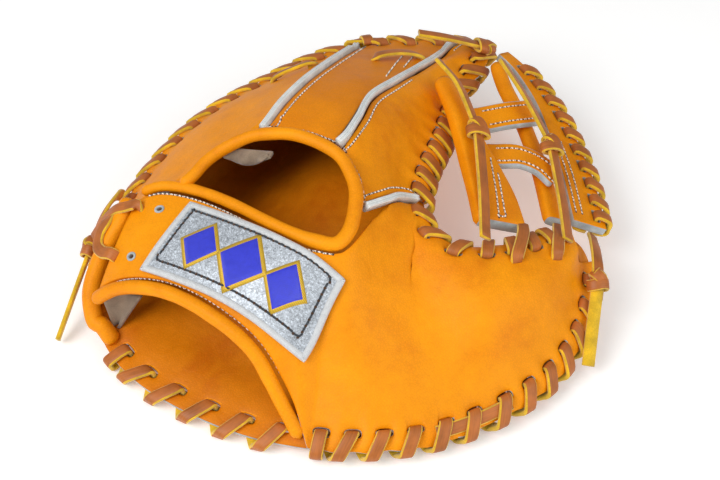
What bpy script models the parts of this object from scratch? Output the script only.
"""Round leather training mitt for the left hand, lying palm down.

The fingers point along +Y, the thumb lies on the +X side and +Z is up. Lengths are in
millimetres until a mesh is made. A closed seam runs round the whole body. Four back panels
and the palm meet in it as a flat double edge, and a flat lace spirals through both layers.
"""

import math

import bpy
import numpy as np
from mathutils import Vector
from mathutils.bvhtree import BVHTree
from mathutils.geometry import delaunay_2d_cdt

MM = 0.001

# Driving sizes.
BODY_WIDTH = 236.0
BODY_LENGTH = 270.0
CREST_HEIGHT = 86.0
LEATHER = 2.4            # back panels and web straps
PALM_EDGE = 2.8          # palm and its lining where they are laced
GAP = 0.4                # clearance between pieces that touch
RIM_PAD = 13.0           # padding of the palm over its resting rim
CROTCH_PAD = 2.6         # palm beside the crotch
CROTCH_DROP = 5.0        # how far it sinks below its laced edge there
POCKET_RISE = 16.0       # how far the palm hollow lifts off the floor
HAND_ROOM = 12.0         # least height left for the hand over the palm
RIM_FLAT = 12.0          # width of the palm's flat rim on the floor
REST_PRESS = 2.0         # how far the soft rim is pressed flat by its own weight
PALM_LEAST = 6.0         # least thickness of the palm away from its edge
EDGE_FLAT = 12.0         # depth of the flat double edge
PLAN_PULL = 14.0         # how far a back panel keeps square with the seam, seen from above
POCKET_REACH = 34.0      # distance over which the palm hollow rises from its rim
PALM_MESH = 18.0         # spacing of the points that carry the palm's middle
SEAM_MESH = 13.0             # spacing of a laced panel's columns along the seam
OPENING_MESH = 10.0          # spacing of the rolls' sections: round the hand opening,
WRIST_MESH = 9.0             # at the wrist edge
HEEL_MESH = 8.0              # and at the heel edge
LOW_RIM = 16.0           # height of the palm's edge from which its wall starts to lean out
LACE_WIDTH = 6.0
LACE_THICK = 1.8
FINGER_LEAN = 0.22        # share of a slot's spacing that the fingers' lace slants further
SLOT_CENTRE = 7.9        # lace slot, measured in from the seam
SLOT_DEPTH = 3.8
SLOT_LENGTH = 7.8
ROLL_RADIUS = 3.4        # rolled binding of the openings
WELT_WIDTH = 3.0
WELT_HEIGHT = 5.0
WELT_GAP = 0.8           # between a welt and the leather beside it
WELT_SHORT = 6.5         # how far a welt stops before the seam
WELT_TIP = 14.0          # length over which its foot rises at the seam
PATCH_THICK = 2.0
PATCH_CORNERS = ((-0.222, -0.166), (0.132, -0.178), (0.118, -0.292), (-0.240, -0.296))
EYELET_RADIUS = 2.2

SLOT_OUTER = SLOT_CENTRE - SLOT_DEPTH / 2
SLOT_INNER = SLOT_CENTRE + SLOT_DEPTH / 2
EDGE_ROWS = 3            # rows of a panel's grid that lie flat on the palm's edge
EDGE_INSET = {"seam": 0.0, "welt": WELT_WIDTH / 2 + WELT_GAP, "roll": ROLL_RADIUS + 3 * GAP,
              "turn": ROLL_RADIUS + 5 * GAP}

COLOURS = {
    "leather": (0.83, 0.36, 0.035),
    "lining": (0.60, 0.22, 0.025),
    "lace": (0.42, 0.16, 0.05),
    "piping": (0.62, 0.64, 0.64),
    "patch": (0.55, 0.57, 0.60),
    "suede": (0.70, 0.52, 0.30),
}

# The seam, clockwise from above. x, y and z are shares of the body's width, length and
# crest height, slope is the leather's rise in degrees inwards from the seam, and rest is
# 1 where the palm turns down to the floor and 0 beside the crotch, where it doesn't.
SEAM = (
    ("heel corner", -0.314, -0.363, 0.116, 25, 1.0),
    ("little heel", -0.386, -0.307, 0.163, 48, 1.0),
    ("little heel side", -0.432, -0.230, 0.233, 50, 1.0),
    ("little wrist", -0.458, -0.133, 0.291, 46, 1.0),
    ("little palm", -0.470, -0.030, 0.349, 42, 1.0),
    ("little knuckle", -0.466, 0.089, 0.395, 38, 1.0),
    ("little joint", -0.441, 0.193, 0.419, 35, 1.0),
    ("little last joint", -0.394, 0.296, 0.442, 30, 1.0),
    ("little tip", -0.335, 0.400, 0.465, 26, 1.0),
    ("ring tip", -0.254, 0.496, 0.465, 24, 1.0),
    ("middle tip", -0.144, 0.556, 0.465, 24, 1.0),
    ("index tip", -0.042, 0.596, 0.477, 24, 1.0),
    ("index corner", 0.025, 0.559, 0.500, 24, 0.7),
    ("web root", 0.042, 0.452, 0.547, 30, 0.3),
    ("index joint", 0.072, 0.333, 0.581, 34, 0.1),
    ("index side", 0.102, 0.241, 0.605, 36, 0.0),
    ("index root", 0.123, 0.152, 0.628, 36, 0.0),
    ("crotch left", 0.153, 0.078, 0.628, 34, 0.0),
    ("crotch bottom", 0.195, 0.026, 0.628, 30, 0.0),
    ("crotch right", 0.254, 0.015, 0.616, 22, 0.0),
    ("thumb root", 0.309, 0.052, 0.581, 16, 0.0),
    ("thumb side", 0.356, 0.115, 0.523, 12, 0.0),
    ("thumb joint", 0.388, 0.174, 0.470, 12, 0.2),
    ("thumb corner", 0.434, 0.210, 0.395, 22, 0.7),
    ("thumb tip", 0.487, 0.182, 0.279, 40, 1.0),
    ("thumb turn", 0.517, 0.104, 0.174, 50, 1.0),
    ("thumb pad", 0.525, 0.030, 0.128, 52, 1.0),
    ("thumb middle", 0.517, -0.052, 0.116, 50, 1.0),
    ("thumb low", 0.483, -0.137, 0.116, 48, 1.0),
    ("thumb base", 0.428, -0.215, 0.105, 46, 1.0),
    ("thumb heel", 0.356, -0.285, 0.105, 44, 1.0),
    ("heel right", 0.263, -0.344, 0.105, 38, 1.0),
    ("wrist right", 0.165, -0.381, 0.105, 30, 1.0),
    ("heel middle", 0.055, -0.404, 0.105, 20, 1.0),
    ("heel left", -0.072, -0.411, 0.105, 18, 1.0),
    ("heel little", -0.203, -0.400, 0.105, 18, 1.0),
)
# Where each welt meets the seam, as a row number of SEAM.
WELT_1_TIP, WELT_2_TIP, WELT_3_TIP = 8.90, 10.72, 17.02

# Lines across the back, each from the hand opening out to the seam. The last column is how
# many degrees the leather beside the welt leans over towards the thumb.
WELT_1 = (
    ("opening", -0.178, -0.013, 0.948, -18),
    ("knuckle", -0.182, 0.030, 0.953, -18),
    ("joint", -0.191, 0.089, 0.942, -18),
    ("middle", -0.203, 0.178, 0.884, -16),
    ("last joint", -0.220, 0.289, 0.762, -14),
    ("tip low", -0.242, 0.393, 0.616, -10),
)
WELT_2 = (
    ("opening", -0.021, 0.004, 0.997, 3),
    ("knuckle", -0.013, 0.044, 1.006, 5),
    ("joint", -0.025, 0.104, 0.983, 8),
    ("middle", -0.047, 0.178, 0.936, 11),
    ("last joint", -0.051, 0.267, 0.843, 14),
    ("tip low", -0.059, 0.385, 0.692, 15),
    ("tip", -0.068, 0.496, 0.558, 15),
)
WELT_3 = (
    ("opening", 0.087, -0.070, 0.884, 28),
    ("side", 0.110, -0.011, 0.826, 30),
    ("middle", 0.121, 0.030, 0.773, 32),
    ("low", 0.133, 0.059, 0.709, 32),
)

# The hand opening's finger side, from its little-finger end round to the strap.
OPENING = (
    ("left end", -0.263, -0.111, 0.791),
    ("left side", -0.254, -0.078, 0.831),
    ("left turn", -0.231, -0.047, 0.878),
    ("little knuckle", -0.193, -0.019, 0.936),
    ("ring knuckle", -0.153, -0.002, 0.965),
    ("middle knuckle", -0.106, 0.006, 0.994),
    ("crest", -0.051, 0.007, 1.000),
    ("index knuckle", 0.000, 0.000, 0.988),
    ("right turn", 0.038, -0.019, 0.959),
    ("right side", 0.068, -0.044, 0.924),
    ("right low", 0.087, -0.078, 0.884),
    ("strap corner", 0.097, -0.111, 0.849),
)
STRAP_TOP = (
    ("left end", -0.356, -0.159, 0.663),
    ("left", -0.326, -0.144, 0.709),
    ("left shoulder", -0.292, -0.137, 0.738),
    ("quarter", -0.246, -0.135, 0.767),
    ("near quarter", -0.191, -0.137, 0.791),
    ("middle left", -0.127, -0.144, 0.814),
    ("middle right", -0.064, -0.152, 0.826),
    ("right", 0.000, -0.156, 0.831),
    ("right shoulder", 0.051, -0.154, 0.831),
    ("corner", 0.089, -0.141, 0.826),
)
STRAP_LOW = (
    ("left end", -0.331, -0.341, 0.360),
    ("left", -0.309, -0.337, 0.430),
    ("left shoulder", -0.280, -0.330, 0.494),
    ("quarter", -0.237, -0.322, 0.547),
    ("near quarter", -0.182, -0.315, 0.581),
    ("middle", -0.123, -0.315, 0.593),
    ("near right", -0.064, -0.319, 0.581),
    ("right", -0.008, -0.322, 0.535),
    ("right shoulder", 0.038, -0.326, 0.453),
    ("fall", 0.076, -0.337, 0.349),
    ("low", 0.108, -0.347, 0.245),
    ("seam", 0.131, -0.355, 0.185),
)
HEEL_ROLL = (
    ("seam", -0.318, -0.346, 0.185),
    ("turn", -0.339, -0.344, 0.198),
    ("low", -0.364, -0.319, 0.302),
    ("middle", -0.373, -0.281, 0.407),
    ("high", -0.373, -0.244, 0.488),
    ("top", -0.369, -0.207, 0.570),
)

# Sections of each back panel: a row number on its outer line, a row number on its inner
# line, the leather's rise in degrees where it reaches the inner line, and the inner edge.
LITTLE_SECTIONS = (
    ("heel", 0.50, 1.9, 40, "turn"),
    ("wrist", 2.00, 3.4, 30, "roll"),
    ("strap end", 3.00, 5.0, 25, "roll"),
    ("strap top", 3.70, 6.8, 20, "turn"),
    ("opening", 4.40, 8.8, 20, "turn"),
    ("corner", 5.08, 10.9, 16, "turn"),
    ("knuckle", 5.10, 11.7, 16, "welt"),
    ("joint", 6.00, 12.6, 12, "welt"),
    ("middle", 7.00, 14.0, 10, "welt"),
    ("last joint", 7.80, 15.0, 12, "welt"),
    ("tip", 8.50, 15.7, 16, "welt"),
    ("rim", WELT_1_TIP, 16.3, 20, "welt"),
)
MIDDLE_SECTIONS = (
    ("welt 1", WELT_1_TIP, 3.37, 2, "roll"),
    ("centre", 9.8, 5.0, 2, "roll"),
    ("welt 2", WELT_2_TIP, 6.60, 0, "roll"),
)
INDEX_SECTIONS = (
    ("welt 3", WELT_3_TIP, 0.0, 20, "roll"),
    ("root", 16.5, 1.6, 16, "roll"),
    ("corner", 16.02, 2.9, 10, "turn"),
    ("knuckle", 16.0, 3.7, 10, "welt"),
    ("joint", 15.5, 4.6, 8, "welt"),
    ("middle", 15.0, 5.3, 8, "welt"),
    ("upper", 14.0, 6.8, 12, "welt"),
    ("last joint", 13.0, 8.0, 16, "welt"),
    ("corner", 12.0, 8.8, 20, "welt"),
    ("tip", 11.3, 9.05, 20, "welt"),
    ("rim", WELT_2_TIP, 9.3, 20, "welt"),
)
STRAP_SECTIONS = (
    ("left end", 0.0, 0.0, 10, "roll"),
    ("quarter", 3.0, 2.8, 8, "roll"),
    ("middle", 6.0, 6.0, 8, "roll"),
    ("right", 9.0, 7.6, 12, "roll"),
    ("seam", 11.0, 8.3, 16, "roll"),
)
STRAP_SLOPES = (("left", 0.0, 40), ("middle", 5.0, 30), ("fall", 8.5, 48), ("seam", 11.0, 52))
THUMB_SECTIONS = (
    ("wrist", 31.85, 8.6, 18, "roll"),
    ("heel", 31.20, 9.5, 18, "roll"),
    ("base", 30.60, 10.4, 16, "roll"),
    ("corner", 30.42, 10.9, 12, "turn"),
    ("side", 30.40, 11.7, 12, "welt"),
    ("low", 30.00, 12.8, 4, "welt"),
    ("crotch", 29.62, 14.0, -4, "welt"),
)
# Slots that share a pair of columns across the thumb: the outer group, the slot's number in
# it, and the number of the slot at the crotch, or None where the columns end between slots.
THUMB_COLUMNS = (
    ("thumb_near", 1, 0),
    ("thumb_near", 0, 1),
    ("thumb_tip", 6, 2),
    ("thumb_tip", 5, 3),
    ("thumb_tip", 4, 4),
    ("thumb_tip", 3, 5),
    ("thumb_tip", 2, 6),
    ("thumb_tip", 1, None),
    ("thumb_tip", 0, None),
)
THUMB_END = (23.75, 22.6)    # rows of SEAM that the panel's last column joins

# The web's straps, by x, y and z as shares of the body's width, length and crest height,
# then half their width and half their thickness in millimetres.
WEB_POST_LEFT = (
    ("top", 0.021, 0.354, 0.744, 4.9, 4.6),
    ("neck", 0.082, 0.301, 0.733, 5.6, 4.5),
    ("shoulder", 0.127, 0.261, 0.709, 6.6, 4.2),
    ("middle", 0.185, 0.214, 0.663, 9.4, 3.8),
    ("lower", 0.252, 0.155, 0.628, 12.4, 3.5),
    ("foot", 0.303, 0.101, 0.599, 13.4, 3.4),
)
WEB_POST_RIGHT = (
    ("top", 0.068, 0.511, 0.581, 3.9, 3.8),
    ("neck", 0.114, 0.465, 0.558, 4.2, 3.8),
    ("upper", 0.170, 0.419, 0.535, 4.2, 3.6),
    ("middle", 0.223, 0.371, 0.512, 4.2, 3.5),
    ("lower", 0.294, 0.298, 0.477, 4.6, 3.4),
    ("foot", 0.373, 0.203, 0.453, 5.2, 3.2),
)
WEB_BAR_UPPER = (
    ("left", 0.139, 0.330, 0.640, 8.4, 1.7),
    ("middle", 0.172, 0.366, 0.628, 8.4, 1.7),
    ("right", 0.207, 0.414, 0.581, 8.4, 1.7),
)
WEB_BAR_LOWER = (
    ("left", 0.207, 0.259, 0.609, 8.4, 1.7),
    ("middle", 0.248, 0.279, 0.605, 8.4, 1.7),
    ("over post", 0.292, 0.290, 0.564, 8.2, 1.7),
    ("right", 0.333, 0.285, 0.512, 7.4, 1.7),
)
WEB_RIM = (
    ("top", 0.043, 0.586, 0.481, 3.6, 2.2),
    ("index side", 0.093, 0.570, 0.453, 5.0, 2.2),
    ("upper", 0.188, 0.514, 0.407, 7.0, 2.2),
    ("middle", 0.265, 0.448, 0.372, 8.6, 2.2),
    ("lower", 0.347, 0.363, 0.343, 9.6, 2.2),
    ("foot", 0.428, 0.256, 0.337, 9.6, 2.2),
)
# The free lace ends, in the same columns.
TAIL_TOP = (
    ("knot", 0.007, 0.522, 0.651, 3.0, 0.9),
    ("middle", -0.047, 0.491, 0.721, 3.0, 0.9),
    ("end", -0.102, 0.458, 0.767, 3.0, 0.9),
)
TAIL_LEFT_UP = (
    ("knot", 0.148, 0.286, 0.802, 3.0, 0.9),
    ("middle", 0.079, 0.318, 0.860, 3.0, 0.9),
    ("end", 0.010, 0.348, 0.907, 3.0, 0.9),
)
TAIL_LEFT_DOWN = (
    ("knot", 0.191, 0.215, 0.773, 3.0, 0.9),
    ("middle", 0.247, 0.128, 0.727, 3.0, 0.9),
    ("end", 0.304, 0.037, 0.680, 3.0, 0.9),
)
TAIL_RIGHT_UP = (
    ("knot", 0.278, 0.349, 0.651, 3.0, 0.9),
    ("middle", 0.193, 0.406, 0.698, 3.0, 0.9),
    ("end", 0.100, 0.468, 0.744, 3.0, 0.9),
)
TAIL_RIGHT_DOWN = (
    ("knot", 0.313, 0.319, 0.587, 3.0, 0.9),
    ("middle", 0.369, 0.239, 0.541, 3.0, 0.9),
    ("end", 0.427, 0.153, 0.517, 3.0, 0.9),
)
TAIL_THUMB = (
    ("knot", 0.513, 0.112, 0.314, 3.0, 0.9),
    ("middle", 0.536, 0.067, 0.209, 3.0, 0.9),
    ("end", 0.557, 0.016, 0.105, 3.0, 0.9),
)
TAIL_HEEL = (
    ("knot", -0.427, -0.267, 0.314, 3.0, 0.9),
    ("middle", -0.418, -0.322, 0.174, 3.0, 0.9),
    ("end", -0.404, -0.386, 0.058, 3.0, 0.9),
)
# The knots: the same columns, then the direction that each one is long in.
KNOTS = (
    ("knot_top", 0.0126, 0.5487, 0.6000, 7.0, 3.6, 0.85, -0.5, -0.1),
    ("knot_web_left", 0.1651, 0.2490, 0.7803, 7.2, 3.4, 0.75, 0.62, -0.30),
    ("knot_web_right", 0.2927, 0.3379, 0.5993, 7.0, 3.4, 0.75, 0.62, -0.30),
    ("knot_thumb_tip", 0.5080, 0.1365, 0.3450, 4.6, 3.6, 0.2, -0.3, -1.0),
    ("knot_heel", -0.4254, -0.2479, 0.3624, 4.6, 3.6, 0.1, -0.2, -1.0),
)

# Lacing groups: first and last slot as row numbers of SEAM, and how many slots.
LACING = {
    "little": (1.12, 8.40, 16),
    "middle": (9.22, 10.30, 3),
    "corner": (11.42, 11.42, 1),
    "index": (12.42, 13.35, 3),
    "index_crotch": (13.75, 16.70, 8),
    "thumb_crotch": (17.42, 21.55, 7),
    "thumb_tip": (24.30, 28.10, 7),
    "thumb_near": (28.78, 31.62, 6),
    "heel": (32.35, 35.55, 6),
}

# The palm below the double edge: height as a share of the edge's height, how far it lies
# in from the edge, and how far the padded rim stands back out where it is tall.
PALM_WALL = (
    ("upper wall", 0.60, 0.8, 5.5),
    ("lower wall", 0.20, 2.0, 7.5),
    ("turn", 0.0, 8.5, 4.5),
)
WEB_UP = (0.34, 0.24, 0.91)
RIM_SLOTS = (0.15, 0.97, 10)   # first and last lace slot as shares of the rim, and how many
RIM_SLOT_CENTRE = 4.8
KNOT_WIDTH = 4.4
# The line under the middle of the palm that its inner rings close in on.
SPINE = ((-0.17, 0.37), (-0.16, 0.07), (-0.085, -0.11), (0.064, -0.19), (0.33, -0.06), (0.43, 0.09))
THUMB_ROOT_ROW = 20      # from this row of SEAM on, the inner rings face the spine


def unit(vector):
    """The vector at length 1."""
    vector = np.asarray(vector, float)
    return vector / np.linalg.norm(vector)


def in_mm(rows):
    """Table rows as millimetres, with any further columns left as they are."""
    scale = np.array([BODY_WIDTH, BODY_LENGTH, CREST_HEIGHT])
    numbers = np.array([row[1:] for row in rows], float)
    numbers[:, :3] *= scale
    return numbers


def along(curve, row, closed=False):
    """The smooth curve through the rows of a table, at a row number."""
    count = len(curve)
    if not closed:
        row = min(max(row, 0.0), count - 1.0)
    first = int(math.floor(row))
    if not closed:
        first = min(first, count - 2)
    t = row - first
    if closed:
        p0, p1, p2, p3 = (curve[(first + k) % count] for k in (-1, 0, 1, 2))
    else:
        p1, p2 = curve[first], curve[first + 1]
        p0 = curve[first - 1] if first > 0 else 2 * p1 - p2
        p3 = curve[first + 2] if first + 2 < count else 2 * p2 - p1
    bend = 2 * p0 - 5 * p1 + 4 * p2 - p3
    twist = 3 * p1 - p0 - 3 * p2 + p3
    return 0.5 * (2 * p1 + (p2 - p0) * t + bend * t * t + twist * t ** 3)


SEAM_MM = in_mm(SEAM)
SAMPLES_PER_ROW = 24
_rows = np.arange(len(SEAM) * SAMPLES_PER_ROW + 1) / SAMPLES_PER_ROW
_points = np.array([along(SEAM_MM, row, True)[:3] for row in _rows])
_lengths = np.concatenate([[0.0], np.cumsum(np.linalg.norm(np.diff(_points, axis=0), axis=1))])


def seam_length(row):
    """Distance along the seam from its first row to this row number."""
    return float(np.interp(row, _rows, _lengths))


def seam_row(length):
    """The row number at a distance along the seam."""
    return float(np.interp(length, _lengths, _rows))


def seam_frame(row):
    """The seam's point, its direction, the leather's inward direction and its normal."""
    half_window = 14.0
    length = seam_length(row % len(SEAM))
    total = _lengths[-1]
    before = along(SEAM_MM, seam_row((length - half_window) % total), True)
    after = along(SEAM_MM, seam_row((length + half_window) % total), True)
    here = along(SEAM_MM, row, True)
    forward = unit(after[:3] - before[:3])
    slope = math.radians(here[3])
    plan = unit([forward[1], -forward[0], 0.0])
    inward = plan * math.cos(slope) + np.array([0.0, 0.0, math.sin(slope)])
    inward = unit(inward - forward * inward.dot(forward))
    return here[:3], forward, inward, np.cross(inward, forward)


def side_frame(row, centre):
    """The frame at one end of a slot, square with the slot's own."""
    point, forward, inward, normal = seam_frame(centre)
    return point + forward * (seam_length(row) - seam_length(centre)), forward, inward, normal


def slot_rows(group):
    """The row numbers of the slots of one lacing group, evenly spaced along the seam."""
    first, last, count = LACING[group]
    lengths = np.linspace(seam_length(first), seam_length(last), int(round(count)))
    return [seam_row(length) for length in lengths]


def slot_sides(row):
    """Row numbers of both ends of a slot."""
    length = seam_length(row)
    return seam_row(length - SLOT_LENGTH / 2), seam_row(length + SLOT_LENGTH / 2)


def interpolate(sections, row, column):
    """A column of a section table at a row number of its outer line."""
    ordered = sorted(sections, key=lambda section: section[1])
    keys = [section[1] for section in ordered]
    values = [EDGE_INSET[s[column]] if column == 4 else s[column] for s in ordered]
    return float(np.interp(row, keys, values))


def path(start, start_dir, start_flat, end, end_dir, end_flat, plan_pull=None):
    """A smooth line that leaves along start_dir and arrives along end_dir, as points."""
    start, end = np.asarray(start, float), np.asarray(end, float)
    near = start + start_dir * start_flat
    far = end - end_dir * end_flat
    pull = np.full(3, np.linalg.norm(far - near))
    if plan_pull is not None:
        pull[:2] = np.minimum(pull[:2], plan_pull)
    t = np.linspace(0.0, 1.0, 48)[:, None]
    curve = (
        (2 * t ** 3 - 3 * t ** 2 + 1) * near
        + (t ** 3 - 2 * t ** 2 + t) * start_dir * pull
        + (3 * t ** 2 - 2 * t ** 3) * far
        + (t ** 3 - t ** 2) * end_dir * pull
    )
    ends = ([start] if start_flat else []), ([end] if end_flat else [])
    return np.array(ends[0] + list(curve) + ends[1])


def at_distances(points, distances):
    """The points at these distances along a line of points."""
    steps = np.linalg.norm(np.diff(points, axis=0), axis=1)
    lengths = np.concatenate([[0.0], np.cumsum(steps)])
    return np.array([[np.interp(d, lengths, points[:, k]) for k in range(3)] for d in distances])


def length_of(points):
    """The length of a line of points."""
    return float(np.linalg.norm(np.diff(points, axis=0), axis=1).sum())


def column(points, outer_inset, inner_inset, middle_rows, both_laced=False):
    """One column of a panel's grid: the slot rows at its laced edges and rows between."""
    total = length_of(points)
    outer = [outer_inset, SLOT_OUTER, SLOT_INNER]
    inner = [SLOT_INNER, SLOT_OUTER, inner_inset] if both_laced else [inner_inset]
    middle = np.linspace(SLOT_INNER, total - inner[0], middle_rows + 2)[1:-1]
    return at_distances(points, outer + list(middle) + [total - d for d in inner])


def grid_normals(grid):
    """Unit normals of a grid of points, pointing up and out."""
    across = np.gradient(grid, axis=0)
    inward = np.gradient(grid, axis=1)
    normals = np.cross(across, inward)
    normals /= np.linalg.norm(normals, axis=2, keepdims=True)
    flip = np.sign(np.sum(normals[..., 2]))
    return normals * flip


def make_object(name, vertices, faces, colour):
    """A named object from millimetre vertices, with its own material."""
    mesh = bpy.data.meshes.new(name)
    mesh.from_pydata([tuple(np.asarray(v) * MM) for v in vertices], [], faces)
    mesh.validate()
    material = bpy.data.materials.new(name)
    material.use_nodes = True
    shader = material.node_tree.nodes["Principled BSDF"]
    shader.inputs["Base Color"].default_value = (*COLOURS[colour], 1.0)
    shader.inputs["Roughness"].default_value = 0.45 if colour == "leather" else 0.7
    shader.inputs["Metallic"].default_value = 0.0
    mesh.materials.append(material)
    piece = bpy.data.objects.new(name, mesh)
    bpy.context.scene.collection.objects.link(piece)
    mesh.update()
    return piece


def turn_outwards(vertices, faces):
    """The faces, reversed where they enclose a negative volume."""
    volume = 0.0
    for face in faces:
        a = np.asarray(vertices[face[0]])
        for k in range(1, len(face) - 1):
            volume += a.dot(np.cross(vertices[face[k]], vertices[face[k + 1]]))
    return faces if volume > 0 else [tuple(reversed(face)) for face in faces]


def shell(name, top, bottom, holes, colour):
    """A wall between two grids of points, with some of its cells left open."""
    columns, rows = top.shape[:2]
    offset = columns * rows
    vertices = list(top.reshape(-1, 3)) + list(bottom.reshape(-1, 3))
    solid = {(i, j) for i in range(columns - 1) for j in range(rows - 1)} - set(holes)
    faces = []
    for i, j in sorted(solid):
        a, b = i * rows + j, (i + 1) * rows + j
        faces.append((a, b, b + 1, a + 1))
        faces.append((offset + a, offset + a + 1, offset + b + 1, offset + b))
        sides = (
            ((i, j - 1), a, b), ((i + 1, j), b, b + 1),
            ((i, j + 1), b + 1, a + 1), ((i - 1, j), a + 1, a),
        )
        for neighbour, start, end in sides:
            if neighbour not in solid:
                faces.append((end, start, offset + start, offset + end))
    used = sorted({k for face in faces for k in face})
    index = {k: n for n, k in enumerate(used)}
    vertices = [vertices[k] for k in used]
    faces = [tuple(index[k] for k in face) for face in faces]
    faces = turn_outwards(vertices, faces)
    return make_object(name, vertices, faces, colour)


def panel(name, columns, slots, edge_ups=None, rails=(None, None)):
    """A leather panel from its columns of points.

    edge_ups holds the direction away from the body by column and row, where it isn't the
    grid's own. A rail is the welt that an end column runs beside.
    """
    grid = np.array(columns)
    rows = grid.shape[1]
    share = np.linspace(0.0, 1.0, len(grid))[:, None, None]
    fixed = {(i, j % rows): up for (i, j), up in (edge_ups or {}).items()}
    for end, rail in enumerate(rails):
        if rail is None:
            continue
        edge = len(grid) - 1 if end else 0
        beside, ups = rail_column(rail, grid[edge], grid[len(grid) // 2])
        shift = beside - grid[edge]
        shift[:EDGE_ROWS] = 0.0
        shift[-1] = 0.0
        grid = grid + shift[None] * (share if end else 1.0 - share)
        grid[edge] = beside
        fixed.update({(edge, j): ups[j] for j in range(rows)})
    grid = relaxed(grid, fixed)
    normals = grid_normals(grid)
    for (i, j), up in fixed.items():
        normals[i, j] = up
    return shell(name, grid, grid - normals * LEATHER, slots, "leather")


def relaxed(grid, fixed, passes=6):
    """The grid with its free points evened out between their side neighbours.

    Each pass draws a point in towards the line between them, then pushes it out again by
    slightly more, so that creases go and the panel's own curve stays.
    """
    free = np.ones(grid.shape[:2], bool)
    free[[0, -1], :] = False
    free[:, [0, -1]] = False
    for i, j in fixed:
        free[i, j] = False
    for share in (0.50, -0.53) * passes:
        before = np.linalg.norm(grid[1:-1] - grid[:-2], axis=2, keepdims=True)
        after = np.linalg.norm(grid[2:] - grid[1:-1], axis=2, keepdims=True)
        between = (grid[:-2] * after + grid[2:] * before) / (before + after)
        drawn = grid.copy()
        drawn[1:-1] += share * (between - grid[1:-1])
        grid = np.where(free[..., None], drawn, grid)
    return grid


def rail_column(rail, own, inner):
    """The points and ups of an end column that runs beside a welt, from the seam inwards."""
    welt, start, tip = rail
    line = welt[int(start * (len(welt) - 1)):][::-1]
    steps = np.linalg.norm(np.diff(own, axis=0), axis=1)
    distances = np.concatenate([[0.0], np.cumsum(steps)])
    total = length_of(line[:, :3]) - (EDGE_INSET["roll"] if start == 0.0 else 0.0)
    spots = at_distances(line[:, :3], distances / distances[-1] * total)
    points, ups = [], []
    seam_point, _, _, normal = seam_frame(tip)
    for j, (spot, towards) in enumerate(zip(spots, inner)):
        point, up = beside_welt(welt, spot, towards)
        if j < EDGE_ROWS:
            point = point - normal * (point - seam_point).dot(normal)
            up = normal
        points.append(point)
        ups.append(up)
    return np.array(points), ups


def beside_welt(welt, spot, towards):
    """The leather's edge beside a welt, on the side of another point, and its up."""
    near = welt[np.argmin(np.linalg.norm(welt[:, :3] - spot, axis=1))]
    forward, up = near[3:6], near[6:9]
    side = np.cross(up, forward)
    if side.dot(towards - spot) < 0:
        side = -side
    return near[:3] + side * EDGE_INSET["welt"], up


def welt_line(rows, tip_row):
    """A welt as dense rows of point, direction and up, flat on the double edge at its tip."""
    tip, _, _, normal = seam_frame(tip_row)
    curve = np.vstack([in_mm(rows), np.append(tip, rows[-1][4])])
    dense = np.array([along(curve, r) for r in np.linspace(0, len(curve) - 1, 241)])
    away = np.linalg.norm(dense[:, :3] - tip, axis=1)
    flat = np.clip(2.0 - away / EDGE_FLAT, 0.0, 1.0)
    height = (dense[:, :3] - tip) @ normal
    dense[:, :3] -= normal * (height * flat)[:, None]
    forward = np.gradient(dense[:, :3], axis=0)
    forward /= np.linalg.norm(forward, axis=1, keepdims=True)
    lean = np.radians(dense[:, 3])
    ups = np.stack([np.sin(lean), np.zeros(len(lean)), np.cos(lean)], axis=1)
    ups = ups * (1.0 - flat)[:, None] + normal * flat[:, None]
    ups -= forward * np.sum(ups * forward, axis=1, keepdims=True)
    ups /= np.linalg.norm(ups, axis=1, keepdims=True)
    return np.hstack([dense[:, :3], forward, ups])


def seam_columns(first, last, groups, spacing=SEAM_MESH):
    """Row numbers of a panel's columns between two seam rows, and which begin a slot."""
    low, high = min(first, last), max(first, last)
    stops = [(low, False, None), (high, False, None)]
    for group in groups:
        for row in slot_rows(group):
            start, end = slot_sides(row)
            if low < start and end < high:
                stops += [(start, True, row), (end, False, row)]
    stops.sort(key=lambda stop: stop[0])
    filled = []
    for (row, opens, centre), (following, _, _) in zip(stops, stops[1:]):
        filled.append((row, opens, centre))
        gap = seam_length(following) - seam_length(row)
        extra = 0 if opens else int(gap // spacing)
        for k in range(1, extra + 1):
            filled.append((row + (following - row) * k / (extra + 1), False, None))
    filled.append(stops[-1])
    if first > last:
        flipped = []
        for k in range(len(filled) - 1, -1, -1):
            opens = k > 0 and filled[k - 1][1]
            flipped.append((filled[k][0], opens, filled[k][2]))
        filled = flipped
    return filled


def laced_panel(name, sections, inner, groups, middle_rows, welts, rails, blend_ends):
    """A panel whose outer edge is laced into the seam."""
    stations = seam_columns(sections[0][1], sections[-1][1], groups)
    columns, slots, ups = [], [], {}
    for k, (row, opens, centre) in enumerate(stations):
        line, up = laced_column(sections, inner, row, centre, middle_rows, welts,
                                blend_ends and k in (0, len(stations) - 1))
        columns.append(line)
        if up is not None:
            ups[k, -1] = up
        normal = (side_frame(row, centre) if centre else seam_frame(row))[3]
        if not (blend_ends and k in (0, len(stations) - 1)):
            ups.update({(k, j): normal for j in range(EDGE_ROWS)})
        if opens:
            slots.append((k, 1))
    return panel(name, columns, slots, ups, rails)


def square_inset(inset, chord, inner, row):
    """The inset measured along a column that meets the inner line at a slant."""
    line = unit(along(inner, row + 0.1)[:3] - along(inner, row - 0.1)[:3])
    slant = np.linalg.norm(np.cross(unit(chord), line))
    return inset / max(slant, 0.45)


def nearest_welt(welts, spot):
    """The welt that passes a point."""
    return min(welts, key=lambda welt: np.linalg.norm(welt[:, :3] - spot, axis=1).min())


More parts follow.
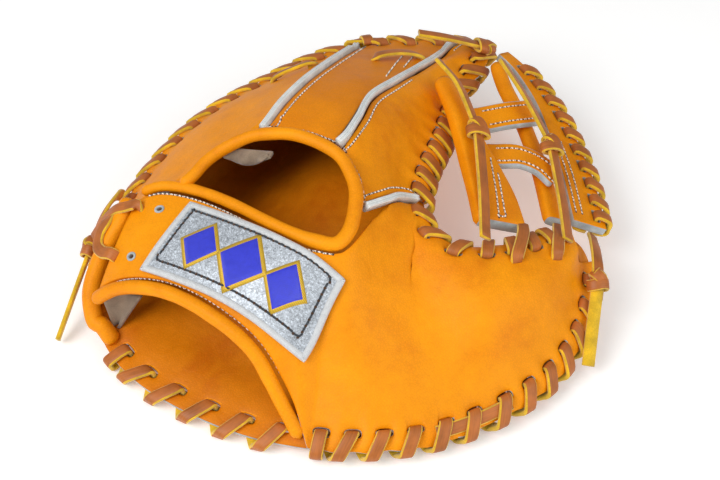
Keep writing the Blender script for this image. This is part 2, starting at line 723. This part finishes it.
def laced_column(sections, inner, row, centre, middle_rows, welts, follow_chord=False):
    """One column of a panel, from the seam in to its inner line, and its up at the end."""
    point, _, inward, _ = side_frame(row, centre) if centre else seam_frame(row)
    inner_row = interpolate(sections, row, 2)
    end = along(inner, inner_row)[:3]
    inset = interpolate(sections, row, 4)
    up = None
    if inset == EDGE_INSET["welt"]:
        end, up = beside_welt(nearest_welt(welts, end), end, point)
        inset = 0.0
    chord = end - point
    chord[2] = 0.0
    rise = math.radians(interpolate(sections, row, 3))
    arrive = unit(chord) * math.cos(rise) + np.array([0, 0, math.sin(rise)])
    flat = EDGE_FLAT
    if follow_chord:
        slope = math.asin(inward[2])
        inward = unit(chord) * math.cos(slope) + np.array([0, 0, math.sin(slope)])
    if np.linalg.norm(chord) < 2.2 * EDGE_FLAT:
        flat = min(EDGE_FLAT, 0.75 * np.linalg.norm(end - point))
    line = path(point, inward, flat, end, arrive, 0.0, PLAN_PULL)
    if inset:
        inset = square_inset(inset, end - point, inner, inner_row)
    return column(line, 0.0, inset, middle_rows), up


def back_panels():
    """The four panels of the back, each a wall of leather."""
    opening, strap_top = in_mm(OPENING), in_mm(STRAP_TOP)
    welts = [welt_line(*pair) for pair in
             ((WELT_1, WELT_1_TIP), (WELT_2, WELT_2_TIP), (WELT_3, WELT_3_TIP))]
    lines = [np.vstack([in_mm(rows)[:, :3], along(SEAM_MM, tip, True)[:3]]) for rows, tip in
             ((WELT_1, WELT_1_TIP), (WELT_2, WELT_2_TIP), (WELT_3, WELT_3_TIP))]
    little_inner = np.vstack([in_mm(HEEL_ROLL), strap_top[1:3], opening[0:3], lines[0]])
    index_inner = np.vstack([lines[2][:1], opening[9:7:-1], lines[1]])
    thumb_inner = np.vstack([strap_top, opening[11:], lines[2]])
    laced_panel("back_little_finger", LITTLE_SECTIONS, little_inner, ["little"], 3,
                welts, (None, (welts[0], 0.88, WELT_1_TIP)), True)
    laced_panel("back_middle_fingers", MIDDLE_SECTIONS, opening, ["middle"], 8,
                welts, ((welts[0], 0.0, WELT_1_TIP), (welts[1], 0.0, WELT_2_TIP)), True)
    laced_panel("back_index_finger", INDEX_SECTIONS, index_inner,
                ["corner", "index", "index_crotch"], 3, welts,
                ((welts[2], 0.0, WELT_3_TIP), (welts[1], 0.90, WELT_2_TIP)), True)
    thumb_panel(thumb_inner, welts)
    return welts


def thumb_panel(inner, welts):
    """The thumb's panel, which runs on across the wrist as the strap."""
    middle_rows = 3
    low = in_mm(STRAP_LOW)
    columns, slots, ups = [], [], {}
    slope_rows = [row[1] for row in STRAP_SLOPES]
    slope_values = [row[2] for row in STRAP_SLOPES]
    for row in np.linspace(0.0, 11.0, 13):
        start = along(low, row)
        end = along(inner, interpolate(STRAP_SECTIONS, row, 2))
        chord = end - start
        chord[2] = 0.0
        slope = math.radians(np.interp(row, slope_rows, slope_values))
        rise = math.radians(interpolate(STRAP_SECTIONS, row, 3))
        leave = unit(chord) * math.cos(slope) + np.array([0, 0, math.sin(slope)])
        arrive = unit(chord) * math.cos(rise) + np.array([0, 0, math.sin(rise)])
        line = path(start, leave, 0.0, end, arrive, 0.0)
        total = length_of(line)
        near = square_inset(EDGE_INSET["roll"] + GAP, leave, low, row)
        far = square_inset(EDGE_INSET["roll"], arrive, inner, interpolate(STRAP_SECTIONS, row, 2))
        distances = [near] + list(np.linspace(near, total - far, middle_rows + 6)[1:-1]) + [total - far]
        columns.append(at_distances(line, distances))
    thumb_rows = seam_columns(THUMB_SECTIONS[0][1], THUMB_SECTIONS[-1][1], ["thumb_near"])
    for row, opens, centre in thumb_rows:
        point, _, inward, normal = side_frame(row, centre) if centre else seam_frame(row)
        ups.update({(len(columns), j): normal for j in range(EDGE_ROWS)})
        inner_row = interpolate(THUMB_SECTIONS, row, 2)
        end = along(inner, inner_row)
        inset = interpolate(THUMB_SECTIONS, row, 4)
        if inset == EDGE_INSET["welt"]:
            end, ups[len(columns), -1] = beside_welt(welts[2], end, point)
            inset = 0.0
        chord = end - point
        chord[2] = 0.0
        rise = math.radians(interpolate(THUMB_SECTIONS, row, 3))
        arrive = unit(chord) * math.cos(rise) + np.array([0, 0, math.sin(rise)])
        line = path(point, inward, EDGE_FLAT, end, arrive, 0.0)
        if opens:
            slots.append((len(columns), 1))
        total = length_of(line)
        if inset:
            inset = square_inset(inset, end - point, inner, inner_row)
        distances = [0.0, SLOT_OUTER, SLOT_INNER]
        distances += list(np.linspace(SLOT_INNER, total - inset, middle_rows + 4)[1:])
        columns.append(at_distances(line, distances))
    crotch = slot_rows("thumb_crotch")
    ends = []
    for group, number, other in THUMB_COLUMNS:
        row = slot_rows(group)[int(number)]
        far = None if other is None else crotch[int(other)]
        slots.append((len(columns) + len(ends), 1))
        if far is not None:
            slots.append((len(columns) + len(ends), middle_rows + 3))
        for k, side in enumerate(slot_sides(row)[::-1]):
            ends.append((side, row, None if far is None else slot_sides(far)[k], far))
    ends.append((THUMB_END[0], None, THUMB_END[1], None))
    known = [k for k, end in enumerate(ends) if end[2] is not None]
    for k, (side, row, opposite, far) in enumerate(ends):
        if opposite is None:
            opposite = float(np.interp(k, known, [ends[n][2] for n in known]))
        start = side_frame(side, row) if row else seam_frame(side)
        end = side_frame(opposite, far) if far else seam_frame(opposite)
        tip_column(columns, ups, start, end, middle_rows)
    return panel("back_thumb_and_strap", columns, slots, ups)


def tip_column(columns, ups, start, end, middle_rows):
    """Adds a column across the thumb's tip, from the outer seam over to the crotch seam."""
    point, _, inward, normal = start
    far, _, back, far_normal = end
    line = path(point, inward, EDGE_FLAT, far, -back, EDGE_FLAT)
    for j in range(EDGE_ROWS):
        ups[len(columns), j] = normal
        ups[len(columns), -1 - j] = far_normal
    columns.append(column(line, 0.0, 0.0, middle_rows, True))


def frames_along(points, up=None):
    """Direction, side and up at each point of a line."""
    points = np.asarray(points, float)
    forward = np.gradient(points, axis=0)
    forward /= np.linalg.norm(forward, axis=1, keepdims=True)
    if up is None:
        up = np.cross(forward[0], [0.3, 0.2, 1.0])
    ups = np.broadcast_to(np.asarray(up, float), points.shape).copy()
    sides = []
    previous = ups[0]
    for k, direction in enumerate(forward):
        previous = ups[k] if np.ndim(up) == 2 or k == 0 else previous
        side = unit(np.cross(direction, previous))
        previous = np.cross(side, direction)
        sides.append((side, previous))
    return forward, sides


ROUND = [(math.cos(a), math.sin(a)) for a in np.arange(8) * math.tau / 8]
FLAT = [(-1, -1), (1, -1), (1, 1), (-1, 1)]
PADDED = [(-0.72, -1), (0.72, -1), (1, -0.45), (1, 0.45), (0.72, 1), (-0.72, 1), (-1, 0.45), (-1, -0.45)]


def sweep(name, points, half_widths, half_heights, shape, colour, sides):
    """A closed solid of one cross-section along a line; sides gives side and up there."""
    points = np.asarray(points, float)
    count, corners = len(points), len(shape)
    half_widths = np.broadcast_to(half_widths, count)
    half_heights = np.broadcast_to(half_heights, count)
    vertices = []
    for k, (point, (side, up)) in enumerate(zip(points, sides)):
        for a, b in shape:
            vertices.append(point + side * a * half_widths[k] + up * b * half_heights[k])
    faces = [tuple(range(corners))]
    faces.append(tuple((count - 1) * corners + k for k in reversed(range(corners))))
    for k in range(count - 1):
        for c in range(corners):
            a, b = k * corners + c, k * corners + (c + 1) % corners
            faces.append((a, a + corners, b + corners, b))
    return make_object(name, vertices, turn_outwards(vertices, faces), colour)


def tube(name, points, radius, colour="leather", shape=ROUND, half_height=None, up=None):
    """A round or flattened tube along points."""
    _, sides = frames_along(points, up)
    height = radius if half_height is None else half_height
    return sweep(name, points, radius, height, shape, colour, sides)


def smooth_line(curve, spacing):
    """Points at about this spacing along the smooth curve through a table."""
    dense = np.array([along(curve, r)[:3] for r in np.linspace(0, len(curve) - 1, 20 * len(curve))])
    total = length_of(dense)
    return at_distances(dense, np.linspace(0.0, total, max(3, int(round(total / spacing)) + 1)))


def welts(lines):
    """Piping that stands between the back panels."""
    for number, line in enumerate(lines, 1):
        total = length_of(line[:, :3])
        lengths = np.concatenate([[0.0], np.cumsum(np.linalg.norm(np.diff(line[:, :3], axis=0), axis=1))])
        stops = np.linspace(ROLL_RADIUS + GAP + 1.0, total - WELT_SHORT, int(total / 9) + 2)
        rows = np.array([[np.interp(d, lengths, line[:, k]) for k in range(9)] for d in stops])
        sides = [(np.cross(row[3:6], row[6:9]), row[6:9]) for row in rows]
        foot = LEATHER * np.clip((total - stops) / WELT_TIP, 0.3, 1.0)
        top = WELT_HEIGHT - LEATHER
        points = rows[:, :3] + rows[:, 6:9] * ((top - foot) / 2)[:, None]
        sweep(f"welt_{number}", points, WELT_WIDTH / 2, (top + foot) / 2, FLAT, "piping", sides)


def bindings():
    """Rolled leather round the hand opening, the wrist edge and the heel edge."""
    opening, strap_top = in_mm(OPENING), in_mm(STRAP_TOP)
    hand = np.vstack([strap_top, opening[::-1]])
    tube("binding_hand_opening", smooth_line(hand, OPENING_MESH), ROLL_RADIUS)
    tube("binding_wrist", smooth_line(in_mm(STRAP_LOW), WRIST_MESH), ROLL_RADIUS)
    tube("binding_heel", smooth_line(in_mm(HEEL_ROLL), HEEL_MESH), ROLL_RADIUS)


def palm():
    """The padded palm: a flat laced edge, a rounded rim, and a hollowed middle."""
    stations, slot_starts = [], set()
    rows = []
    for group in LACING:
        for row in slot_rows(group):
            start, end = slot_sides(row)
            rows += [(start, True, row), (end, False, row)]
    rows.sort()
    for k, (row, opens, centre) in enumerate(rows):
        following = rows[(k + 1) % len(rows)][0] + (len(SEAM) if k + 1 == len(rows) else 0)
        if opens:
            slot_starts.add(len(stations))
        stations.append((row, centre))
        gap = (seam_length(following % len(SEAM)) - seam_length(row)) % _lengths[-1]
        extra = 0 if opens else int(gap // 13.0)
        for n in range(1, extra + 1):
            stations.append(((row + (following - row) * n / (extra + 1)) % len(SEAM), None))
    under = LEATHER + GAP
    spine = np.array(SPINE) * [BODY_WIDTH, BODY_LENGTH]
    spine = np.array([along(spine, r) for r in np.linspace(0, len(spine) - 1, 80)])
    tops, bottoms = [], []
    for row, centre in stations:
        point, _, inward, normal = seam_frame(row)
        square, _, square_inward, square_normal = side_frame(row, centre) if centre else seam_frame(row)
        rest = float(np.clip(along(SEAM_MM, row, True)[4], 0.0, 1.0))
        flat = [point - normal * under, square + square_inward * SLOT_OUTER - square_normal * under,
                square + square_inward * SLOT_INNER - square_normal * under,
                point + inward * EDGE_FLAT - normal * under]
        normals = (normal, square_normal, square_normal, normal)
        base = [p - n * PALM_EDGE for p, n in zip(flat, normals)]
        heel = base[-1]
        core = spine[np.argmin(np.linalg.norm(spine - point[:2], axis=1))]
        to_core = core - heel[:2]
        reach = np.linalg.norm(to_core)
        facing = max(rest, float(np.clip(row - THUMB_ROOT_ROW + 1.0, 0.0, 1.0)))
        plan = unit([inward[0], inward[1]]) * (1.0 - facing) + unit(to_core) * facing
        plan = np.append(unit(plan), 0.0)
        tall = np.clip((heel[2] - LOW_RIM) / (1.25 * LOW_RIM), 0.0, 1.0) * rest
        squeeze = min(1.0, 0.72 * reach / 20.0) * rest + 0.25 * (1.0 - rest)
        for _, height, inset, stand in PALM_WALL:
            level = heel[2] * (height * rest + (1.0 - rest)) - CROTCH_DROP * (1.0 - height) * (1.0 - rest)
            spot = heel + plan * (inset * squeeze - stand * tall)
            base.append(np.array([spot[0], spot[1], level]))
        pad = RIM_PAD * rest + CROTCH_PAD * (1.0 - rest)
        inner_level = base[-1][2] + pad
        full = flat[-1] + plan * 9.0 * max(squeeze, 0.3)
        full[2] = inner_level
        tops.append(flat[:EDGE_ROWS] + [full])
        bottoms.append(base)
    tops, bottoms = np.array(tops), np.array(bottoms)
    uncross(tops[:, -1])
    uncross(bottoms[:, -1])
    return stations, slot_starts, tops, bottoms


def uncross(ring):
    """Straightens the ring, seen from above, wherever it would run over itself."""
    count = len(ring)

    def crosses(i, j):
        a, b, c, d = (ring[k % count, :2] for k in (i, i + 1, j, j + 1))
        turns = [np.linalg.det([q - p, r - p]) for p, q, r in ((a, b, c), (a, b, d), (c, d, a), (c, d, b))]
        return turns[0] * turns[1] < 0 and turns[2] * turns[3] < 0

    for i in range(count):
        for span in range(2, 7):
            if crosses(i, i + span):
                ends = ring[i, :2].copy(), ring[(i + span + 1) % count, :2].copy()
                for k in range(1, span + 1):
                    ring[(i + k) % count, :2] = ends[0] + (ends[1] - ends[0]) * k / (span + 1)


def fill(ring, spacing, height):
    """Triangles that close a ring of points: vertices to add, and faces by index."""
    outline = ring[:, :2]
    low, high = outline.min(axis=0), outline.max(axis=0)
    inside = []
    count_x = int((high[0] - low[0]) / spacing) + 1
    count_y = int((high[1] - low[1]) / (spacing * 0.87)) + 1
    for j in range(count_y):
        for i in range(count_x):
            spot = low + [(i + 0.5 * (j % 2)) * spacing, j * spacing * 0.87]
            edges = np.roll(outline, -1, axis=0) - outline
            t = np.clip(((spot - outline) * edges).sum(1) / (edges ** 2).sum(1), 0, 1)
            distance = np.linalg.norm(outline + edges * t[:, None] - spot, axis=1).min()
            if distance < spacing * 0.62 or not is_inside(spot, outline):
                continue
            inside.append(spot)
    count = len(outline)
    spots = [Vector(map(float, p)) for p in list(outline) + inside]
    edges = [(k, (k + 1) % count) for k in range(count)]
    _, _, triangles, origin, _, _ = delaunay_2d_cdt(spots, edges, [], 0, 1e-6, True)
    triangles = [tuple(origin[k][0] for k in face) for face in triangles]
    plan = np.array(list(outline) + inside)
    triangles = [face for face in triangles if is_inside(plan[list(face)].mean(axis=0), outline)]
    added = [np.array([x, y, height(np.array([x, y]))]) for x, y in inside]
    return added, triangles


def is_inside(spot, outline):
    """Whether a point lies inside a closed outline."""
    x, y = spot
    following = np.roll(outline, -1, axis=0)
    crosses = (outline[:, 1] > y) != (following[:, 1] > y)
    span = following[:, 1] - outline[:, 1]
    span[span == 0] = 1e-9
    at_x = outline[:, 0] + (y - outline[:, 1]) * (following[:, 0] - outline[:, 0]) / span
    return bool(np.count_nonzero(crosses & (x < at_x)) % 2)


def blended_height(ring, rise, reach):
    """A height that follows the ring and swells by rise away from it."""
    def height(spot):
        distance = np.linalg.norm(ring[:, :2] - spot, axis=1)
        weight = 1.0 / (distance + 1.0) ** 3
        share = min(1.0, max(0.0, (distance.min() - RIM_FLAT) / reach))
        swell = share * share * (3 - 2 * share)
        return float((ring[:, 2] * weight).sum() / weight.sum()) + rise * swell
    return height


def ceiling_over_palm():
    """A function that gives the height of the back panels' inner side over a spot."""
    trees = []
    for name in ("back_little_finger", "back_middle_fingers", "back_index_finger", "back_thumb_and_strap"):
        mesh = bpy.data.objects[name].data
        trees.append(BVHTree.FromPolygons([v.co / MM for v in mesh.vertices],
                                          [tuple(p.vertices) for p in mesh.polygons]))

    def ceiling(spot):
        ray = Vector((spot[0], spot[1], 2 * CREST_HEIGHT)), Vector((0, 0, -1))
        hits = [tree.ray_cast(*ray)[0] for tree in trees]
        heights = [hit.z for hit in hits if hit is not None]
        return (min(heights) if heights else CREST_HEIGHT) - LEATHER
    return ceiling


def palm_pad():
    """The palm as one solid."""
    ceiling = ceiling_over_palm()
    stations, slot_starts, tops, bottoms = palm()
    count = len(stations)
    top_rows, bottom_rows = tops.shape[1], bottoms.shape[1]
    vertices = list(tops.reshape(-1, 3)) + list(bottoms.reshape(-1, 3))
    base = count * top_rows

    def top(i, j):
        return (i % count) * top_rows + j

    def bottom(i, j):
        return base + (i % count) * bottom_rows + j

    faces = []
    for i in range(count):
        faces.append((bottom(i, 0), bottom(i + 1, 0), top(i + 1, 0), top(i, 0)))
        for j in range(top_rows - 1):
            if not (j == 1 and i in slot_starts):
                faces.append((top(i, j), top(i + 1, j), top(i + 1, j + 1), top(i, j + 1)))
        for j in range(bottom_rows - 1):
            if not (j == 1 and i in slot_starts):
                faces.append((bottom(i, j + 1), bottom(i + 1, j + 1), bottom(i + 1, j), bottom(i, j)))
        if i in slot_starts:
            loop = ((i, 1), (i + 1, 1), (i + 1, 2), (i, 2))
            for (a, b), (c, d) in zip(loop, loop[1:] + loop[:1]):
                faces.append((top(c, d), top(a, b), bottom(a, b), bottom(c, d)))
    for ring, index_of, last, upward, rise, below in (
        (tops[:, -1], top, top_rows - 1, True, POCKET_RISE - 5.0, HAND_ROOM),
        (bottoms[:, -1], bottom, bottom_rows - 1, False, POCKET_RISE, HAND_ROOM + PALM_LEAST),
    ):
        free = blended_height(ring, rise, POCKET_REACH)
        pressed = 0.0 if upward else REST_PRESS
        added, triangles = fill(
            ring, PALM_MESH, lambda spot: max(0.0, min(free(spot), ceiling(spot) - below) - pressed))
        start = len(vertices)
        vertices += added
        names = [index_of(k, last) for k in range(count)] + [start + k for k in range(len(added))]
        for face in triangles:
            a, b, c = (names[k] for k in face)
            flat = np.cross(vertices[b] - vertices[a], vertices[c] - vertices[a])[2]
            faces.append((a, b, c) if (flat > 0) == upward else (a, c, b))
    mesh_faces = orient(vertices, faces)
    return make_object("palm_pad", vertices, mesh_faces, "leather")


def orient(vertices, faces):
    """The faces turned so that neighbours agree and the whole points outwards."""
    edges = {}
    for n, face in enumerate(faces):
        for a, b in zip(face, face[1:] + face[:1]):
            edges.setdefault((min(a, b), max(a, b)), []).append((n, a < b))
    turned = {0: False}
    waiting = [0]
    neighbours = {}
    for pair in edges.values():
        if len(pair) == 2:
            (m, up_m), (n, up_n) = pair
            same = up_m != up_n
            neighbours.setdefault(m, []).append((n, same))
            neighbours.setdefault(n, []).append((m, same))
    while waiting:
        face = waiting.pop()
        for other, same in neighbours.get(face, []):
            if other not in turned:
                turned[other] = turned[face] != (not same)
                waiting.append(other)
    result = [tuple(reversed(f)) if turned.get(n, False) else f for n, f in enumerate(faces)]
    return turn_outwards(vertices, result)


# One turn of the lace: share of the way to the next slot, how far in it lies from the slot's
# middle (where the share is near 0 or 1) or from the edge, and its clearance over or under
# the leather, or -0.5 where it passes the middle of the leather's depth.
LACE_TURN = (
    ("in the slot", 0.00, 0.0, -0.5),
    ("leaves the slot", 0.04, -0.4, 0.6),
    ("over the edge", 0.38, -1.7, 0.7),
    ("round the edge", 0.50, -3.0, -0.5),
    ("under the edge", 0.62, -1.7, -0.7),
    ("reaches the slot", 0.96, -0.4, -0.6),
)


def lace_heights(depth):
    """Height of the lace's middle at each point of a turn, over leather this deep."""
    clear = LACE_THICK / 2
    return [h * depth if h == -0.5 else (h + clear if h > 0 else h - clear - depth) for _, _, _, h in LACE_TURN]


def spiral_lace(name, groups, over=0.0, reverse=False, lean=0.0):
    """A flat lace wound through the slots of some lacing groups."""
    rows = [row for group in groups for row in slot_rows(group)]
    if reverse:
        rows.reverse()
    frames = []
    for first, second in zip(rows, rows[1:]):
        start, end = seam_length(first), seam_length(second)
        for _, share, _, _ in LACE_TURN:
            near = first if share < 0.1 else second if share > 0.9 else None
            row = seam_row(start + (end - start) * (share if near else share + lean))
            frames.append(side_frame(row, near) if near else seam_frame(row))
    frames.append(seam_frame(rows[-1]))
    return wound_lace(name, frames, SLOT_CENTRE, LEATHER + GAP + PALM_EDGE, over)


def wound_lace(name, frames, slot_centre, depth, over=0.0):
    """A lace wound round an edge, from one frame of the edge for each of its points."""
    heights = lace_heights(depth - over)
    points, widths = [], []
    for k, (point, forward, inward, normal) in enumerate(frames):
        _, share, inset, _ = LACE_TURN[k % len(LACE_TURN)]
        inset += slot_centre if share < 0.1 or share > 0.9 else 0.0
        points.append(point + inward * inset + normal * (heights[k % len(LACE_TURN)] - over))
        widths.append(forward)
    directions = np.gradient(np.array(points), axis=0)
    sides = [(width, unit(np.cross(unit(direction), width))) for width, direction in zip(widths, directions)]
    return sweep(name, points, LACE_WIDTH / 2, LACE_THICK / 2, FLAT, "lace", sides)


def laces():
    """The spiral laces round the seam."""
    spiral_lace("lace_fingers", ["little", "middle", "corner", "index"], reverse=True, lean=FINGER_LEAN)
    spiral_lace("lace_crotch", ["index_crotch", "thumb_crotch"])
    spiral_lace("lace_thumb", ["thumb_tip", "thumb_near"])
    spiral_lace("lace_heel", ["heel"], LEATHER + GAP)


def strap_line(rows, stations):
    """Points along a strap of the web, with its half width and half height at each."""
    numbers = in_mm(rows)
    dense = np.array([along(numbers, r) for r in np.linspace(0, len(numbers) - 1, 121)])
    steps = np.linalg.norm(np.diff(dense[:, :3], axis=0), axis=1)
    lengths = np.concatenate([[0.0], np.cumsum(steps)])
    return np.array([[np.interp(share * lengths[-1], lengths, dense[:, k]) for k in range(5)]
                     for share in stations])


def web():
    """Two posts and two crossbars in the web's opening, and the rim strap round it."""
    up = unit(WEB_UP)
    for name, rows, count, shape in (
        ("web_post_left", WEB_POST_LEFT, 9, PADDED), ("web_post_right", WEB_POST_RIGHT, 8, PADDED),
        ("web_bar_upper", WEB_BAR_UPPER, 5, FLAT), ("web_bar_lower", WEB_BAR_LOWER, 6, FLAT),
    ):
        line = strap_line(rows, np.linspace(0, 1, count))
        _, sides = frames_along(line[:, :3], np.tile(up, (count, 1)))
        sweep(name, line[:, :3], line[:, 3], line[:, 4], shape, "leather", sides)
    web_rim(up)


def web_rim(up):
    """The strap along the web's outer side, laced round its outer edge."""
    first, last, count = RIM_SLOTS
    total = length_of(strap_line(WEB_RIM, np.linspace(0, 1, 60))[:, :3])
    slots = np.linspace(first, last, count) - 0.5 * SLOT_LENGTH / total
    stations = [0.0]
    for share in slots:
        stations += [share - 0.5 * SLOT_LENGTH / total, share + 0.5 * SLOT_LENGTH / total]
    stations.append(1.0)
    line = strap_line(WEB_RIM, stations)
    forward, sides = frames_along(line[:, :3], np.tile(up, (len(line), 1)))
    top, bottom = [], []
    for k, (row, (side, normal)) in enumerate(zip(line, sides)):
        edge = row[:3] - side * row[3]
        insets = (0.0, RIM_SLOT_CENTRE - SLOT_DEPTH / 2, RIM_SLOT_CENTRE + SLOT_DEPTH / 2,
                  max(2 * row[3], RIM_SLOT_CENTRE + SLOT_DEPTH / 2 + 1.5))
        top.append([edge + side * inset + normal * row[4] for inset in insets])
        bottom.append([edge + side * inset - normal * row[4] for inset in insets])
    holes = [(1 + 2 * k, 1) for k in range(count)]
    shell("web_rim", np.array(top), np.array(bottom), holes, "leather")
    shares = []
    for start, end in zip(slots, slots[1:]):
        shares += [start + (end - start) * share for _, share, _, _ in LACE_TURN]
    shares.append(slots[-1])
    line = strap_line(WEB_RIM, shares)
    forward, sides = frames_along(line[:, :3], np.tile(up, (len(line), 1)))
    frames = [(row[:3] - side * row[3] + normal * row[4], unit(np.cross(side, normal)), side, normal)
              for row, (side, normal) in zip(line, sides)]
    wound_lace("lace_web_rim", frames, RIM_SLOT_CENTRE, 2 * line[0][4])


def knots():
    """The knots of the laces, as rounded blocks."""
    for name, *numbers in KNOTS:
        centre = np.array(numbers[:3]) * [BODY_WIDTH, BODY_LENGTH, CREST_HEIGHT]
        half_length, half_height = numbers[3:5]
        axis = unit(numbers[5:])
        points = [centre + axis * half_length * share for share in (-1.0, -0.6, 0.0, 0.6, 1.0)]
        swell = np.array([0.6, 0.95, 1.0, 0.95, 0.6])
        up = WEB_UP if abs(axis[2]) < 0.7 else (axis[0], 1.0, 0.0)
        _, sides = frames_along(points, np.tile(unit(up), (5, 1)))
        sweep(name, points, KNOT_WIDTH * swell, half_height * swell, PADDED, "lace", sides)


def tails():
    """The free ends of the laces, each leaving its knot."""
    for name, knot, rows, outwards in (
        ("tail_top", "knot_top", TAIL_TOP, (0, 0.3, 1)),
        ("tail_web_left_up", "knot_web_left", TAIL_LEFT_UP, WEB_UP),
        ("tail_web_left_down", "knot_web_left", TAIL_LEFT_DOWN, WEB_UP),
        ("tail_web_right_up", "knot_web_right", TAIL_RIGHT_UP, WEB_UP),
        ("tail_web_right_down", "knot_web_right", TAIL_RIGHT_DOWN, WEB_UP),
        ("tail_thumb", "knot_thumb_tip", TAIL_THUMB, (1, 0.2, 0.3)),
        ("tail_heel", "knot_heel", TAIL_HEEL, (-1, -0.3, 0.3)),
    ):
        mesh = bpy.data.objects[knot].data
        corners = np.array([v.co / MM for v in mesh.vertices])
        tree = BVHTree.FromPolygons([Vector(c) for c in corners], [tuple(p.vertices) for p in mesh.polygons])
        line = in_mm(rows)
        centre = corners.mean(axis=0)
        away = unit(line[1, :3] - centre)
        face = tree.ray_cast(Vector(line[1, :3]), Vector(-away))[0]
        line[0, :3] = np.array(face) + away * (2 * GAP)
        dense = np.array([along(line, r)[:3] for r in np.linspace(0, len(line) - 1, 61)])
        points = at_distances(dense, np.linspace(0, length_of(dense), 6))
        _, sides = frames_along(points, np.tile(unit(outwards), (6, 1)))
        sweep(name, points, LACE_WIDTH / 2, LACE_THICK / 2, FLAT, "lace", sides)


def patch():
    """The woven label patch on the strap, laid on the leather below it."""
    corners = np.array(PATCH_CORNERS) * [BODY_WIDTH, BODY_LENGTH]
    carrier = bpy.data.objects["back_thumb_and_strap"].data
    tree = BVHTree.FromPolygons([v.co / MM for v in carrier.vertices],
                                [tuple(p.vertices) for p in carrier.polygons])
    columns, rows = 11, 6
    grid = np.zeros((columns, rows, 3))
    for i, u in enumerate(np.linspace(0, 1, columns)):
        for j, v in enumerate(np.linspace(0, 1, rows)):
            spot = (corners[0] * (1 - u) + corners[1] * u) * (1 - v)
            spot = spot + (corners[3] * (1 - u) + corners[2] * u) * v
            hit = tree.ray_cast(Vector((spot[0], spot[1], 2 * CREST_HEIGHT)), Vector((0, 0, -1)))[0]
            grid[i, j] = hit if hit is not None else (spot[0], spot[1], 0.7 * CREST_HEIGHT)
    normals = grid_normals(grid)
    lift = 3.5 * GAP
    return shell("patch", grid + normals * (lift + PATCH_THICK), grid + normals * lift, [], "patch")


def centre_on_floor():
    """Moves every piece so that the whole, without its free lace ends, stands on the origin."""
    pieces = [o for o in bpy.context.scene.collection.all_objects if o.type == "MESH" and not o.hide_render]
    held = [o for o in pieces if not o.name.startswith("tail_")]
    corners = np.array([v.co for o in held for v in o.data.vertices])
    low, high = corners.min(axis=0), corners.max(axis=0)
    shift = Vector((-(low[0] + high[0]) / 2, -(low[1] + high[1]) / 2, -low[2]))
    for piece in pieces:
        for vertex in piece.data.vertices:
            vertex.co += shift
    return shift


def main():
    """Makes the mitt."""
    for old in list(bpy.data.objects):
        bpy.data.objects.remove(old)
    welt_lines = back_panels()
    palm_pad()
    welts(welt_lines)
    bindings()
    patch()
    laces()
    web()
    knots()
    tails()
    centre_on_floor()


main()
